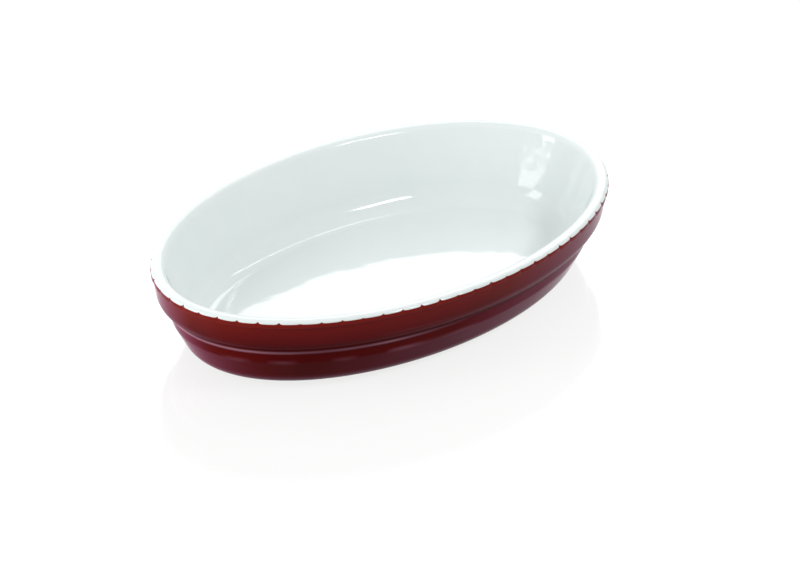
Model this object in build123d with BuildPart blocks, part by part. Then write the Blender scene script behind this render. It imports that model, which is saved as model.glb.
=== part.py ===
from build123d import *
from math import cos, radians, sin
import os

# Oval gratin dish in glazed stoneware, with a scalloped rim and a stepped wall.
# Millimetres, +Z up, the long axis along X. The origin is where the dish stands,
# under its centre. Every horizontal outline of the dish is an oval, given by how far
# it stands in from the oval of the rim.

# The whole dish, over its glaze
dish_length = 280.0
dish_width = 180.0
dish_height = 49.0
glaze = 0.4

# Outside of the wall, from its foot up: inset from the rim and height of each bend
base_inset = 19.5
base_height = 1.0
base_radius = 15.0
belly_inset = 10.1
belly_height = 19.8
belly_radius = 4.0
ledge_inset = 8.1
ledge_height = 27.5
ledge_radius = 1.6
collar_inset = 2.6
collar_height = 32.8
collar_radius = 7.0

# Scalloped lip over the collar, and the round edge of the rim above it
lip_overhang = 1.1
lip_height = 3.8
lobe_count = 68
lobe_depth = 0.5
rim_outer_radius = 1.8
white_edge_drop = 1.0

# Rim and inside
rim_width = 7.0
rim_inner_radius = 2.4
floor_height = 8.0
floor_inset = 21.8
cove_radius = 15.0

# Bare foot ring
foot_inset = 30.0
foot_width = 5.0
foot_radius = 0.4

# Room for cuts to run past what they cut, and how close two heights count as one
overrun = 2.0
height_tolerance = 0.01

# Angles at which the round edge of the rim gets an outline, from its side to its top
edge_angles = (0, 30, 60, 90)

half_length = dish_length / 2
half_width = dish_width / 2
lip_base = dish_height - lip_height
edge_start = dish_height - rim_outer_radius
outward = Vector(-1, 0)
upward = Vector(0, 1)

outer_profile = [
    Vector(base_inset, base_height),
    Vector(belly_inset, belly_height),
    Vector(ledge_inset, ledge_height),
    Vector(collar_inset, collar_height),
    Vector(lip_overhang, lip_base),
]
inner_slope = (floor_inset - rim_width) / (dish_height - floor_height)
inner_profile = [
    Vector(floor_inset, floor_height),
    Vector(rim_width - overrun * inner_slope, dish_height + overrun),
]


def moved_profile(profile, depth, before, after):
    """A wall profile moved square to itself by depth, with its corners kept sharp.

    Before and after are the directions in which the surface runs into the first
    corner and out of the last one. A positive depth is to the right of the way up.
    """
    steps = [(end - start).normalized() for start, end in zip(profile, profile[1:])]
    directions = [before] + steps + [after]
    corners = []
    for corner, lower, upper in zip(profile, directions, directions[1:]):
        lower_normal = Vector(lower.Y, -lower.X)
        upper_normal = Vector(upper.Y, -upper.X)
        mitre = (lower_normal + upper_normal) / (1 + lower_normal.dot(upper_normal))
        corners.append(corner + mitre * depth)
    return corners


def oval_face(inset, height):
    """The oval at one height that stands in from the rim by inset."""
    with BuildSketch(Plane.XY.offset(height)) as oval:
        Ellipse(half_length - inset, half_width - inset)
    return oval.sketch


def oval_edges(part, height):
    """The edges of a part that run round it at one height."""
    return part.edges().filter_by(
        lambda edge: abs(edge.bounding_box().min.Z - height) < height_tolerance
        and abs(edge.bounding_box().max.Z - height) < height_tolerance
    )


def scalloped_face(inset, height, depth):
    """An oval at one height, cut into lobes of equal length that meet in cusps."""
    crests = Edge.make_ellipse(half_length - inset, half_width - inset)
    cusps = Edge.make_ellipse(half_length - inset - depth, half_width - inset - depth)
    with BuildSketch(Plane.XY.offset(height)) as face:
        with BuildLine():
            for lobe in range(lobe_count):
                first_cusp = cusps @ ((lobe + 1 / 2) / lobe_count % 1)
                crest = crests @ ((lobe + 1) / lobe_count % 1)
                last_cusp = cusps @ ((lobe + 3 / 2) / lobe_count % 1)
                ThreePointArc(first_cusp, crest, last_cusp)
        make_face()
    return face.sketch


def lip_form(coat):
    """The scalloped lip and the round edge over it, less a coat of this thickness."""
    outlines = []
    for angle in edge_angles:
        inset = rim_outer_radius - (rim_outer_radius - coat) * cos(radians(angle))
        height = edge_start + (rim_outer_radius - coat) * sin(radians(angle))
        outlines.append(scalloped_face(inset, height, lobe_depth * cos(radians(angle))))
    with BuildPart() as lip:
        add(scalloped_face(coat, lip_base + coat, lobe_depth))
        extrude(amount=edge_start - lip_base - coat)
        loft(sections=outlines)
    return lip.part


def wall_form(coat):
    """The oval body below the lip, solid inside, less a coat of this thickness."""
    corners = moved_profile(outer_profile, coat, outward, outward)
    base, belly, ledge, collar, top = corners
    with BuildPart() as wall:
        loft(sections=[oval_face(corner.X, corner.Y) for corner in corners], ruled=True)
        fillet(oval_edges(wall, base.Y), base_radius - coat)
        fillet(oval_edges(wall, belly.Y), belly_radius - coat)
        fillet(oval_edges(wall, ledge.Y), ledge_radius + coat)
        fillet(oval_edges(wall, collar.Y), collar_radius - coat)
    return wall.part


def dish_form(coat):
    """The whole dish but its foot ring, less a coat of this thickness."""
    inside = moved_profile(inner_profile, -coat, outward, upward)
    with BuildPart() as form:
        add(wall_form(coat))
        add(lip_form(coat))
        loft(sections=[oval_face(corner.X, corner.Y) for corner in inside], ruled=True, mode=Mode.SUBTRACT)
        fillet(oval_edges(form, inside[0].Y), cove_radius + coat)
        rim_edges = oval_edges(form, dish_height - coat)
        fillet(rim_edges.sort_by(SortBy.LENGTH)[-1], rim_inner_radius - coat)
    return form.part

# The fired clay under its glaze, with the bare foot ring that it stands on
with BuildPart() as ceramic_body:
    add(dish_form(glaze))
    with BuildSketch():
        add(oval_face(foot_inset, 0))
        add(oval_face(foot_inset + foot_width, 0), mode=Mode.SUBTRACT)
    extrude(amount=base_height + glaze + overrun)
    fillet(oval_edges(ceramic_body, 0), foot_radius)
ceramic_body.part.label = "ceramic_body"

# All the glaze, as it lies on the clay
with BuildPart() as coats:
    add(dish_form(0))
    add(ceramic_body.part, mode=Mode.SUBTRACT)

# The space of the brown glaze: outside the middle of the wall, up to the white edge
with BuildPart() as brown_space:
    add(oval_face(-overrun, -overrun))
    extrude(amount=overrun + dish_height - white_edge_drop)
    add(wall_form(rim_width / 4), mode=Mode.SUBTRACT)
    add(oval_face(rim_width / 2, lip_base))
    extrude(amount=lip_height, mode=Mode.SUBTRACT)

# White glaze of the inside, carried over the rim to the lobes of the lip
with BuildPart() as white_inner_glaze:
    add(coats.part)
    add(brown_space.part, mode=Mode.SUBTRACT)
white_inner_glaze.part.label = "white_inner_glaze"

# Brown glaze of the wall and of the base, which the bare foot ring parts
with BuildPart() as brown_coats:
    add(coats.part)
    add(brown_space.part, mode=Mode.INTERSECT)

with BuildPart() as brown_outer_glaze:
    add(brown_coats.solids().sort_by(SortBy.VOLUME)[-1])
brown_outer_glaze.part.label = "brown_outer_glaze"

with BuildPart() as brown_base_glaze:
    add(brown_coats.solids().sort_by(SortBy.VOLUME)[0])
brown_base_glaze.part.label = "brown_base_glaze"

os.makedirs("parts", exist_ok=True)
export_step(ceramic_body.part, "parts/ceramic_body.step")
export_step(white_inner_glaze.part, "parts/white_inner_glaze.step")
export_step(brown_outer_glaze.part, "parts/brown_outer_glaze.step")
export_step(brown_base_glaze.part, "parts/brown_base_glaze.step")
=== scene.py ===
"""Looks of the oval gratin dish: glazes, bare clay, floor, studio light and camera.

Metres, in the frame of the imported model. The two glazes that show are built here as
fine closed skins from the same sizes as the CAD, so that their gloss runs smoothly.
"""
import bmesh
import bpy
import numpy as np
from math import atan2, cos, pi, radians, sin, tan
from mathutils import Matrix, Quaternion, Vector


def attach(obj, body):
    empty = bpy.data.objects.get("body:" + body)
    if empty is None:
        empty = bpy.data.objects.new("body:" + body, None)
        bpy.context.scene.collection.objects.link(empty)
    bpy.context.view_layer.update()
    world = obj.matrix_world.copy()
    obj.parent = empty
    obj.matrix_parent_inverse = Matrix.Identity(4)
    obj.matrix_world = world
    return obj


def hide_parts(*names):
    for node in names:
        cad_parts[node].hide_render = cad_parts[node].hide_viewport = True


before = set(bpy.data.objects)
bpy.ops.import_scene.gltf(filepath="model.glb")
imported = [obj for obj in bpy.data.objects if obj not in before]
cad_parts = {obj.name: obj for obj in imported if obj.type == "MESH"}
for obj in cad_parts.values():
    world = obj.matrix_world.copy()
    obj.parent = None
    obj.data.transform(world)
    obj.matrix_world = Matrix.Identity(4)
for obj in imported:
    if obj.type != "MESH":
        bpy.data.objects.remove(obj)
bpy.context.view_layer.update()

MM = 0.001
ROOT = "root"
TURN = 2 * pi

# Sizes of the dish, in millimetres. They are the CAD's, but for the wider hollow at the
# ledge, the small rounds under the lip and the shallower lobes, which the glaze makes.
# An inset is how far an oval stands in from the oval of the rim. The rings of the floor
# go in by its run, and a fan fills the rest.
HALF_LENGTH, HALF_WIDTH, HEIGHT = 140.0, 90.0, 49.0
FOOT_INSET = 30.0
BASE_INSET, BASE_HEIGHT, BASE_RADIUS = 19.5, 1.0, 15.0
BELLY_INSET, BELLY_HEIGHT, BELLY_RADIUS = 10.1, 19.8, 4.0
LEDGE_INSET, LEDGE_HEIGHT, LEDGE_RADIUS = 8.1, 27.5, 8.5
COLLAR_INSET, COLLAR_HEIGHT, COLLAR_RADIUS = 2.6, 32.8, 7.0
LIP_OVERHANG, LIP_HEIGHT, LIP_RADIUS, LIP_COVE = 1.1, 3.8, 0.6, 0.45
RIM_RADIUS, RIM_WIDTH, RIM_INNER_RADIUS = 1.8, 7.0, 2.4
FLOOR_HEIGHT, FLOOR_INSET, FLOOR_RUN, COVE_RADIUS = 8.0, 21.8, 50.0, 15.0
LOBES, LOBE_DEPTH = 68, 0.3
LIP_BASE = HEIGHT - LIP_HEIGHT
RIM_EDGE = HEIGHT - RIM_RADIUS
WHITE_DROP = 1.0
WHITE_EDGE = HEIGHT - WHITE_DROP

# Thickness of a skin, how far it stays within the ends and sides of the CAD, and its mesh:
# columns to a lobe, steps along the profile, and how near to the glaze edge no ring lies
SKIN, WITHIN = 0.37, 0.03
LOBE_STEPS, PROFILE_STEP, ARC_STEP, EDGE_GAP = 20, 0.6, radians(6), 0.05

# Glaze as it really lies, in millimetres or as shares: how much the lobes differ, how far
# the brown climbs in a cusp, the low waves of the belly and the slight dome of the rim
SEED = 7
LOBE_UNEVEN, LOBE_POWER = 0.18, 3
GLAZE_RISE, GLAZE_REACH, RISE_POWER, LEAST_RISE, EDGE_WANDER = 1.5, 2.6, 9, 0.15, 0.08
WAVE_DEPTH, WAVE_SPREAD = 0.16, 5.0
RIM_CROWN, RIM_CREST, CROWN_LIMIT = 0.5, 3.3, 1.2

# Where the looks of the glazes change, in millimetres. Up the dish the white grows duller
# over the rim, and the brown grows orange, with its own gloss on the belly and the collar.
RIM_DULL, ORANGE, BELLY_GLOSS, COLLAR_GLOSS = (46.5, 48.2), (35.0, 46.5), (15.0, 21.0), (31.0, 35.0)

# The hollow at the ledge is duller and takes less of the painted sheen, up to so far from its middle
HOLLOW_HEIGHT, HOLLOW_PAINTED_SHEEN, HOLLOW_GLOSS = 29.5, (1.5, 4.5), (3.0, 5.0)

# A painted highlight lies over each bend as a pale line in the colour: its height, how far it
# reaches up and down, and between which X and Y it grows weaker. All over the core of its reach
# it has its full strength.
LEDGE_HIGHLIGHT, LEDGE_REACH, LEDGE_X = LEDGE_HEIGHT - 0.7, 1.4, (-60.0, -10.0)
BELLY_HIGHLIGHT, BELLY_REACH, BELLY_X, BELLY_Y = BELLY_HEIGHT + 0.1, 2.0, (-50.0, 20.0), (-50.0, -20.0)
HIGHLIGHT_CORE, HIGHLIGHT_STRENGTH = 0.2, 0.8

# Camera: its place in degrees and metres, its lens in millimetres and its shift
CAMERA_AZIMUTH, CAMERA_ELEVATION, CAMERA_DISTANCE = -40.9, 29.5, 1.8725
CAMERA_LENS, CAMERA_SENSOR, CAMERA_SHIFT = 157.5, 36.0, (0.0194, 0.0149)


def ellipse_angles():
    """Ellipse parameters at equal steps round the rim, from the end of the dish at +X."""
    fine = np.linspace(0, TURN, 20001)
    ring = np.stack([HALF_LENGTH * np.cos(fine), HALF_WIDTH * np.sin(fine)], 1)
    run = np.concatenate([[0], np.cumsum(np.linalg.norm(np.diff(ring, axis=0), axis=1))])
    count = LOBES * LOBE_STEPS
    return np.interp(np.arange(count) / count * run[-1], run, fine)


def corner_arc(corners, k):
    """Points of the arc that rounds corner k of a profile."""
    here, radius = np.array(corners[k][:2]), corners[k][2]
    before = np.array(corners[k - 1][:2]) - here
    after = np.array(corners[k + 1][:2]) - here
    before /= np.linalg.norm(before)
    after /= np.linalg.norm(after)
    half_turn = np.arccos(np.clip(before @ after, -1, 1)) / 2
    reach = radius / tan(half_turn)
    middle = (before + after) / np.linalg.norm(before + after)
    centre = here + middle * radius / sin(half_turn)
    start, end = here + before * reach, here + after * reach
    first = atan2(*(start - centre)[::-1])
    turn = (atan2(*(end - centre)[::-1]) - first + pi) % TURN - pi
    parts = max(2, int(abs(turn) / ARC_STEP))
    angles = first + turn * np.arange(parts + 1) / parts
    return [centre + radius * np.array([cos(angle), sin(angle)]) for angle in angles]


def rounded(corners):
    """Profile through corners (inset, height, radius), with arcs at those that have a radius."""
    points = []
    for k, (inset, height, radius) in enumerate(corners):
        points += corner_arc(corners, k) if radius else [np.array([inset, height])]
    path = [points[0]]
    for point in points[1:]:
        length = np.linalg.norm(point - path[-1])
        if length < 1e-6:
            continue
        parts = max(1, int(length / PROFILE_STEP))
        path += [path[-1] + (point - path[-1]) * (k + 1) / parts for k in range(parts)]
    return np.array(path)


def whole_profile():
    """Outside and inside of the dish in one line: base, wall, lip, rim, wall and floor."""
    return rounded([
        (FOOT_INSET, BASE_HEIGHT, 0),
        (BASE_INSET, BASE_HEIGHT, BASE_RADIUS),
        (BELLY_INSET, BELLY_HEIGHT, BELLY_RADIUS),
        (LEDGE_INSET, LEDGE_HEIGHT, LEDGE_RADIUS),
        (COLLAR_INSET, COLLAR_HEIGHT, COLLAR_RADIUS),
        (LIP_OVERHANG, LIP_BASE, LIP_COVE),
        (0, LIP_BASE, LIP_RADIUS),
        (0, HEIGHT, RIM_RADIUS),
        (RIM_WIDTH, HEIGHT, RIM_INNER_RADIUS),
        (FLOOR_INSET, FLOOR_HEIGHT, COVE_RADIUS),
        (FLOOR_INSET + FLOOR_RUN, FLOOR_HEIGHT, 0),
    ])


def crowned(profile):
    """The profile with the top of the rim slightly domed, as glaze leaves it."""
    inset, height = profile.T
    away = np.clip(np.abs(inset - RIM_CREST) / RIM_CREST, 0, CROWN_LIMIT) ** 2
    near_top = np.clip((height - LIP_BASE) / LIP_HEIGHT, 0, 1)
    return np.stack([inset, height - RIM_CROWN * away * near_top], 1)


def behind(profile, depth):
    """The profile moved by depth towards the clay, which is on its right."""
    along = np.gradient(profile, axis=0)
    along /= np.linalg.norm(along, axis=1)[:, None]
    return profile + depth * np.stack([along[:, 1], -along[:, 0]], 1)


def lobe_share(inset, height):
    """Share of the lobes on the lip: full on its side, fading over its round edges."""
    if inset > RIM_RADIUS or height < LIP_BASE - 1e-6:
        return 0.0
    if height > RIM_EDGE:
        return max(0.0, 1 - ((height - RIM_EDGE) / RIM_RADIUS) ** 2) ** 0.5
    return min(1.0, max(0.0, 1 - (inset - LIP_RADIUS) / (LIP_OVERHANG - LIP_RADIUS)))


def add_object(name, data):
    """A new object in the scene that shows this mesh, light or camera."""
    obj = bpy.data.objects.new(name, data)
    bpy.context.scene.collection.objects.link(obj)
    return obj


class Dish:
    """The glazed surface as rings round the dish, with its lobes, waves and glaze edge."""

    def __init__(self):
        self.angles = ellipse_angles()
        self.draw_glaze()
        self.draw_profile()

    def draw_glaze(self):
        """Depth of the lobes, rise of the brown and wave of the belly, all round the dish."""
        chance = np.random.RandomState(SEED)
        steps = np.arange(LOBES * LOBE_STEPS)
        phase = (steps / LOBE_STEPS + 0.5) % 1 - 0.5
        near_cusp = 2 * np.abs(phase)
        cusp = (np.round(steps / LOBE_STEPS - 0.5) % LOBES).astype(int)
        depth = 1 + LOBE_UNEVEN * chance.uniform(-1, 1, LOBES)
        self.lobes = LOBE_DEPTH * near_cusp ** LOBE_POWER * depth[cusp]
        climb = LEAST_RISE + (1 - LEAST_RISE) * chance.uniform(0, 1, LOBES) ** 1.5
        self.rise = GLAZE_RISE * near_cusp ** RISE_POWER * climb[cusp]
        self.rise += EDGE_WANDER * self.ripple(chance, 5, 40)
        self.wave = self.ripple(chance, 21, 24) + 0.5 * self.ripple(chance, 6, 11)

    def draw_profile(self):
        """Front and back of the glaze, runs along it, and where on it the two colours meet."""
        profile = whole_profile()
        self.front = crowned(profile)
        self.back = behind(profile, SKIN)
        lengths = np.linalg.norm(np.diff(self.front, axis=0), axis=1)
        self.run = np.concatenate([[0], np.cumsum(lengths)])
        self.shares = np.array([lobe_share(inset, height) for inset, height in self.front])
        on_rim = (profile[:, 0] < RIM_RADIUS) & (profile[:, 1] > WHITE_EDGE)
        above = int(np.argmax(on_rim))
        around_edge = slice(above - 1, above + 1)
        self.edge = np.interp(WHITE_EDGE, profile[around_edge, 1], self.run[around_edge])

    def ripple(self, chance, low, high):
        """A smooth closed wave round the dish, within -1 to 1, of low up to high turns."""
        turns = np.arange(low, high)
        size = chance.uniform(0.4, 1.0, len(turns))
        shift = chance.uniform(0, TURN, len(turns))
        wave = (size[:, None] * np.sin(turns[:, None] * self.angles + shift[:, None])).sum(0)
        return wave / np.abs(wave).max()

    def ring(self, run, profile):
        """Points round the dish at one run along a profile, drawn up where the brown climbs."""
        drawn = np.clip(1 - abs(run - self.edge) / GLAZE_REACH, 0, 1)
        at = run + self.rise * drawn
        inset = np.interp(at, self.run, profile[:, 0])
        height = np.interp(at, self.run, profile[:, 1])
        inset = inset + self.lobes * np.interp(at, self.run, self.shares)
        if run < self.edge:
            near_belly = np.exp(-((height - BELLY_HEIGHT) / WAVE_SPREAD) ** 2)
            inset = inset + WAVE_DEPTH * self.wave * near_belly
        x = (HALF_LENGTH - WITHIN - inset) * np.cos(self.angles)
        y = (HALF_WIDTH - WITHIN - inset) * np.sin(self.angles)
        return np.stack([x, y, height], 1) * MM

    def skin(self, name, runs, to_middle):
        """A closed skin over part of the profile, from its front round to its back.

        To_middle fills the last ring of the front and of the back, each as far as a point
        at its middle. Otherwise a band joins these two rings.
        """
        rings = [self.ring(run, self.front) for run in runs]
        rings += [self.ring(run, self.back) for run in runs[::-1]]
        count, total = len(self.angles), len(rings)
        around = np.arange(count)
        beside = (around + 1) % count
        verts = np.concatenate(rings)
        bands = [(k, (k + 1) % total) for k in range(total)]
        faces = []
        if to_middle:
            last = len(runs) - 1
            bands.remove((last, last + 1))
            for k in (last, last + 1):
                middle = np.full(count, len(verts))
                verts = np.concatenate([verts, rings[k].mean(axis=0)[None]])
                faces += np.stack([middle, k * count + beside, k * count + around], 1).tolist()
        for k, m in bands:
            quads = [k * count + around, k * count + beside, m * count + beside, m * count + around]
            faces += np.stack(quads, 1).tolist()
        mesh = bpy.data.meshes.new(name)
        mesh.from_pydata(verts.tolist(), [], faces)
        shape = bmesh.new()
        shape.from_mesh(mesh)
        bmesh.ops.recalc_face_normals(shape, faces=shape.faces)
        shape.to_mesh(mesh)
        shape.free()
        mesh.polygons.foreach_set("use_smooth", [True] * len(mesh.polygons))
        # The swell of the belly waves, which also places the painted highlights on the belly.
        swell = mesh.attributes.new("swell", "FLOAT", "POINT")
        middles = np.zeros(len(mesh.vertices) - total * count)
        swell.data.foreach_set("value", np.concatenate([np.tile(-self.wave, total), middles]))
        mesh.update()
        return add_object(name, mesh)

    def white_skin(self):
        """White glaze: from its edge on the lobes over the rim and down to the floor."""
        runs = [self.edge] + [run for run in self.run if run > self.edge + EDGE_GAP]
        return self.skin("white_glaze_skin", runs, to_middle=True)

    def brown_skin(self):
        """Red-brown glaze: from the foot ring up the wall to the white edge."""
        runs = [run for run in self.run if run < self.edge - EDGE_GAP] + [self.edge]
        return self.skin("brown_glaze_skin", runs, to_middle=False)


class Nodes:
    """Short calls to make shader nodes and link them."""

    def __init__(self, tree):
        self.tree = tree

    def plug(self, value, socket):
        """Links a socket, or sets the value on it."""
        if isinstance(value, bpy.types.NodeSocket):
            self.tree.links.new(value, socket)
        else:
            socket.default_value = value

    def add(self, kind, inputs=None, **settings):
        """A node with these settings, and its inputs linked or set."""
        node = self.tree.nodes.new(kind)
        for key, value in settings.items():
            setattr(node, key, value)
        for key, value in (inputs or {}).items():
            self.plug(value, node.inputs[key])
        return node

    def place(self):
        """The point of the surface, in metres in the object's own frame."""
        return self.add("ShaderNodeTexCoord").outputs["Object"]

    def axes(self, place):
        """The X, Y and Z of a point."""
        return self.add("ShaderNodeSeparateXYZ", {"Vector": place}).outputs

    def noise(self, place, scale, detail=2.0, rough=0.5):
        """Smooth noise from 0 to 1, with about this many waves to the metre."""
        return self.add("ShaderNodeTexNoise", {
            "Vector": place, "Scale": scale, "Detail": detail, "Roughness": rough,
        }).outputs["Fac"]

    def span(self, value, low, high, to_low=0.0, to_high=1.0):
        """The value carried over from one range to another, and held at its ends."""
        return self.add("ShaderNodeMapRange", {
            "Value": value, "From Min": low, "From Max": high, "To Min": to_low, "To Max": to_high,
        }, clamp=True).outputs["Result"]

    def stretch(self, value, ends, to_low=0.0, to_high=1.0):
        """A span from one end to the other of a stretch that is given in millimetres."""
        return self.span(value, ends[0] * MM, ends[1] * MM, to_low, to_high)

    def math(self, operation, first, second):
        return self.add("ShaderNodeMath", {0: first, 1: second}, operation=operation).outputs[0]

    def product(self, first, *others):
        """The values multiplied together."""
        for other in others:
            first = self.math("MULTIPLY", first, other)
        return first

    def off(self, height, level):
        """How far a height is above or below a level that is given in millimetres."""
        return self.math("ABSOLUTE", self.math("SUBTRACT", height, level * MM), 0.0)

    def mix(self, share, first, second):
        """The first colour, with this share of the second."""
        node = self.add("ShaderNodeMix", data_type="RGBA")
        for k, value in ((0, share), (6, first), (7, second)):
            self.plug(value, node.inputs[k])
        return node.outputs[2]

    def bump(self, height, strength, distance):
        return self.add("ShaderNodeBump", {
            "Height": height, "Strength": strength, "Distance": distance,
        }).outputs["Normal"]

    def seen(self):
        """1 for camera, glossy and transmission rays, which see the pale background."""
        path = self.add("ShaderNodeLightPath").outputs
        direct = self.math("MAXIMUM", path["Is Camera Ray"], path["Is Glossy Ray"])
        return self.math("MAXIMUM", direct, path["Is Transmission Ray"])

    def show(self, shader):
        """Shows a shader as the surface of the material."""
        self.add("ShaderNodeOutputMaterial", {0: shader.outputs[0]})


def new_material(name):
    """A node material with no nodes yet, and the calls that make them."""
    material = bpy.data.materials.new(name)
    material.use_nodes = True
    material.node_tree.nodes.clear()
    return material, Nodes(material.node_tree)


def white_glaze():
    """Gloss white glaze in soft cool clouds, less glossy on top of the rim."""
    cool, pale = (0.775, 0.825, 0.82, 1), (0.8, 0.842, 0.838, 1)
    material, nodes = new_material("white_glaze_look")
    place = nodes.place()
    height = nodes.axes(place)["Z"]
    nodes.show(nodes.add("ShaderNodeBsdfPrincipled", {
        "Base Color": nodes.mix(nodes.span(nodes.noise(place, 22.0, 3.0), 0.3, 0.7), cool, pale),
        "Roughness": nodes.span(nodes.noise(place, 900.0), 0.3, 0.7, 0.05, 0.085),
        "IOR": 1.5,
        "Specular IOR Level": nodes.stretch(height, RIM_DULL, 0.5, 0.25),
        "Normal": nodes.bump(nodes.noise(place, 85.0, 1.0), 0.05, 0.002),
    }))
    return material


def brown_color(nodes, place, axes, hollow):
    """Red-brown clouds, orange under the rim, with a painted mauve sheen aslant and painted highlights as
    pale lines over the bends.
    """
    dark, light = (0.105, 0.003, 0.0025, 1), (0.138, 0.0045, 0.0035, 1)
    # Of these, mauve is the colour of the painted sheen and pale is the colour of the painted highlights.
    orange, mauve, pale = (0.21, 0.011, 0.005, 1), (0.27, 0.045, 0.12, 1), (0.6, 0.29, 0.4, 1)
    color = nodes.mix(nodes.span(nodes.noise(place, 30.0, 4.0), 0.3, 0.7), dark, light)
    color = nodes.mix(nodes.stretch(axes["Z"], ORANGE), color, orange)
    # Painted sheen: a mauve cast mixed into the colour where the wall is seen aslant. It fades out in the
    # hollow at the ledge.
    facing = nodes.add("ShaderNodeLayerWeight", {"Blend": 0.5}).outputs["Facing"]
    aslant = nodes.product(nodes.span(facing, 0.45, 0.9), nodes.stretch(hollow, HOLLOW_PAINTED_SHEEN))
    color = nodes.mix(aslant, color, mauve)
    # Painted highlights: pale lines in the colour over the ledge and the belly, broken by noise. The line
    # at the ledge is only towards -X. The dashes on the belly follow the swell of its waves and are
    # strongest towards -X and -Y.
    highlight_breaks = nodes.span(nodes.noise(place, 14.0), 0.35, 0.6, 0.4, 1.0)
    swell = nodes.add("ShaderNodeAttribute", attribute_name="swell").outputs["Fac"]
    ledge_highlight_share = nodes.product(highlight_breaks, nodes.stretch(axes["X"], LEDGE_X, 1.0, 0.0))
    belly_highlight_share = nodes.product(
        highlight_breaks,
        nodes.span(swell, -0.15, 0.5),
        nodes.stretch(axes["X"], BELLY_X, 0.45, 0.25),
        nodes.stretch(axes["Y"], BELLY_Y, 1.0, 0.3),
    )
    for level, reach, share in ((LEDGE_HIGHLIGHT, LEDGE_REACH, ledge_highlight_share), (BELLY_HIGHLIGHT, BELLY_REACH, belly_highlight_share)):
        off = nodes.off(axes["Z"], level)
        highlight_band = nodes.stretch(off, (HIGHLIGHT_CORE * reach, reach), HIGHLIGHT_STRENGTH, 0.0)
        color = nodes.mix(nodes.product(highlight_band, share), color, pale)
    return color


def brown_gloss(nodes, height, hollow):
    """Specular level of the brown: low on the belly, more on the collar, least between them."""
    belly = nodes.stretch(height, BELLY_GLOSS, 0.022, 0.02)
    collar = nodes.stretch(height, COLLAR_GLOSS, 0.0, 0.055)
    out_of_hollow = nodes.stretch(hollow, HOLLOW_GLOSS, 0.2, 1.0)
    return nodes.product(nodes.math("ADD", belly, collar), out_of_hollow)


def brown_glaze():
    """Gloss red-brown glaze of the wall and the base."""
    material, nodes = new_material("brown_glaze_look")
    place = nodes.place()
    axes = nodes.axes(place)
    hollow = nodes.off(axes["Z"], HOLLOW_HEIGHT)
    nodes.show(nodes.add("ShaderNodeBsdfPrincipled", {
        "Base Color": brown_color(nodes, place, axes, hollow),
        "Roughness": nodes.span(nodes.noise(place, 900.0), 0.3, 0.7, 0.1, 0.14),
        "IOR": 1.5,
        "Specular IOR Level": brown_gloss(nodes, axes["Z"], hollow),
        "Specular Tint": (0.8, 0.7, 1.0, 1),
        "Normal": nodes.bump(nodes.noise(place, 70.0, 1.5), 0.06, 0.002),
    }))
    return material


def bare_clay():
    """Matt fired stoneware of the foot ring, with a fine grain."""
    dark, light = (0.62, 0.53, 0.42, 1), (0.8, 0.72, 0.61, 1)
    material, nodes = new_material("fired_clay_look")
    grain = nodes.noise(nodes.place(), 1400.0, 4.0, 0.7)
    nodes.show(nodes.add("ShaderNodeBsdfPrincipled", {
        "Base Color": nodes.mix(nodes.span(grain, 0.35, 0.7), dark, light),
        "Roughness": 0.85,
        "Normal": nodes.bump(grain, 0.35, 0.0003),
    }))
    return material


def floor_look():
    """Pale glossy floor, near white to the eye, that keeps the dish's shadow and reflection."""
    grey, white, black = (0.2, 0.2, 0.2, 1), (1, 1, 1, 1), (0, 0, 0, 1)
    material, nodes = new_material("floor_look")
    surface = nodes.add("ShaderNodeBsdfPrincipled", {"Base Color": grey, "Roughness": 0.1, "IOR": 1.45})
    glow = nodes.add("ShaderNodeEmission", {"Color": white, "Strength": 0.8})
    none = nodes.add("ShaderNodeEmission", {"Color": black, "Strength": 0.0})
    shown = nodes.add("ShaderNodeMixShader", {0: nodes.seen(), 1: none.outputs[0], 2: glow.outputs[0]})
    nodes.show(nodes.add("ShaderNodeAddShader", {0: surface.outputs[0], 1: shown.outputs[0]}))
    return material


def put_material(obj, material):
    """Every slot of obj shows that material."""
    if not obj.data.materials:
        obj.data.materials.append(material)
    for k in range(len(obj.data.materials)):
        obj.data.materials[k] = material


def make_floor():
    """A round floor out to the white world, a hair below the foot ring to stay clear of it."""
    radius, count, drop = 12.0, 96, 0.0001
    angles = [TURN * k / count for k in range(count)]
    ring = [(radius * cos(angle), radius * sin(angle), -drop) for angle in angles]
    mesh = bpy.data.meshes.new("floor")
    mesh.from_pydata(ring, [], [list(range(count))])
    floor = add_object("floor", mesh)
    put_material(floor, floor_look())


def direction(azimuth, elevation):
    a, e = radians(azimuth), radians(elevation)
    return Vector((sin(a) * cos(e), -cos(a) * cos(e), sin(e)))


def area_light(name, azimuth, elevation, distance, width, height, radiance, roll=0):
    """A softbox that faces the dish. Radiance is its brightness to the eye, where white is 1."""
    data = bpy.data.lights.new(name, "AREA")
    data.shape = "RECTANGLE"
    data.size, data.size_y = width, height
    data.energy = radiance * pi * width * height
    back = direction(azimuth, elevation)
    light = add_object(name, data)
    light.location = back * distance
    rolled = back.to_track_quat("Z", "Y") @ Quaternion((0, 0, 1), radians(roll))
    light.rotation_euler = rolled.to_euler()


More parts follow.
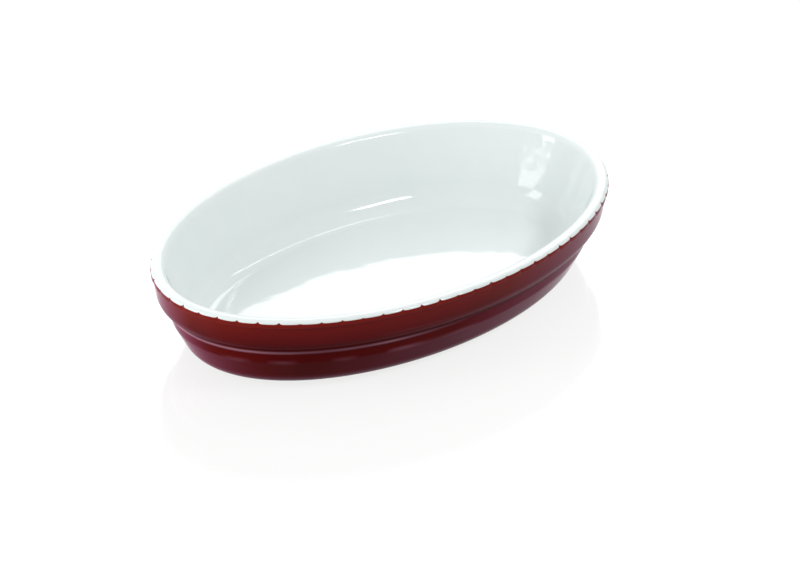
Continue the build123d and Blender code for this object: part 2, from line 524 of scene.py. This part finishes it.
def make_lights():
    """A softbox and a strip behind, a lamp in front, and windows and a low strip on the left."""
    # Azimuth and elevation in degrees, distance, width and height in metres, radiance, roll
    area_light("softbox_back", 142, 31, 1.6, 1.0, 0.58, 2.6)
    area_light("lamp_front", 18.5, 46, 1.5, 0.46, 0.17, 22.0)
    area_light("window_left", -96, 5.9, 1.8, 1.1, 0.26, 4.0, 7)
    area_light("window_high", -108, 25, 1.8, 0.55, 0.95, 4.5)
    area_light("strip_low", -128, 1.3, 1.8, 1.6, 0.07, 36.0)
    area_light("strip_back", 105, 50, 1.6, 0.68, 0.05, 6.5, 38)


def make_world():
    """White to the eye and in gloss, and a dimmer even fill on the dish."""
    world = bpy.data.worlds.new("studio")
    bpy.context.scene.world = world
    world.use_nodes = True
    world.node_tree.nodes.clear()
    nodes = Nodes(world.node_tree)
    fill = nodes.add("ShaderNodeBackground", {"Color": (0.97, 1.0, 0.99, 1), "Strength": 0.67})
    white = nodes.add("ShaderNodeBackground", {"Color": (1, 1, 1, 1), "Strength": 1.0})
    shown = nodes.add("ShaderNodeMixShader", {0: nodes.seen(), 1: fill.outputs[0], 2: white.outputs[0]})
    nodes.add("ShaderNodeOutputWorld", {0: shown.outputs[0]})


def make_camera():
    """The photograph's viewpoint: a long lens, above the front left of the dish."""
    data = bpy.data.cameras.new("camera")
    data.sensor_width = CAMERA_SENSOR
    data.lens = CAMERA_LENS
    data.shift_x, data.shift_y = CAMERA_SHIFT
    data.clip_end = 100.0
    back = direction(CAMERA_AZIMUTH, CAMERA_ELEVATION)
    camera = add_object("camera", data)
    camera.location = back * CAMERA_DISTANCE
    camera.rotation_euler = back.to_track_quat("Z", "Y").to_euler()
    bpy.context.scene.camera = camera


def dress():
    """The dish's visible pieces."""
    dish = Dish()
    white, brown = white_glaze(), brown_glaze()
    for piece, material, node, slot in (
        (dish.white_skin(), white, "white_inner_glaze", "white_glaze"),
        (dish.brown_skin(), brown, "brown_outer_glaze", "brown_glaze"),
    ):
        put_material(piece, material)
        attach(piece, ROOT)
        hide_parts(node)
    put_material(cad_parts["brown_base_glaze"], brown)
    put_material(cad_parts["ceramic_body"], bare_clay())


make_camera()
dress()
make_floor()
make_lights()
make_world()
bpy.context.scene.view_settings.view_transform = "Standard"
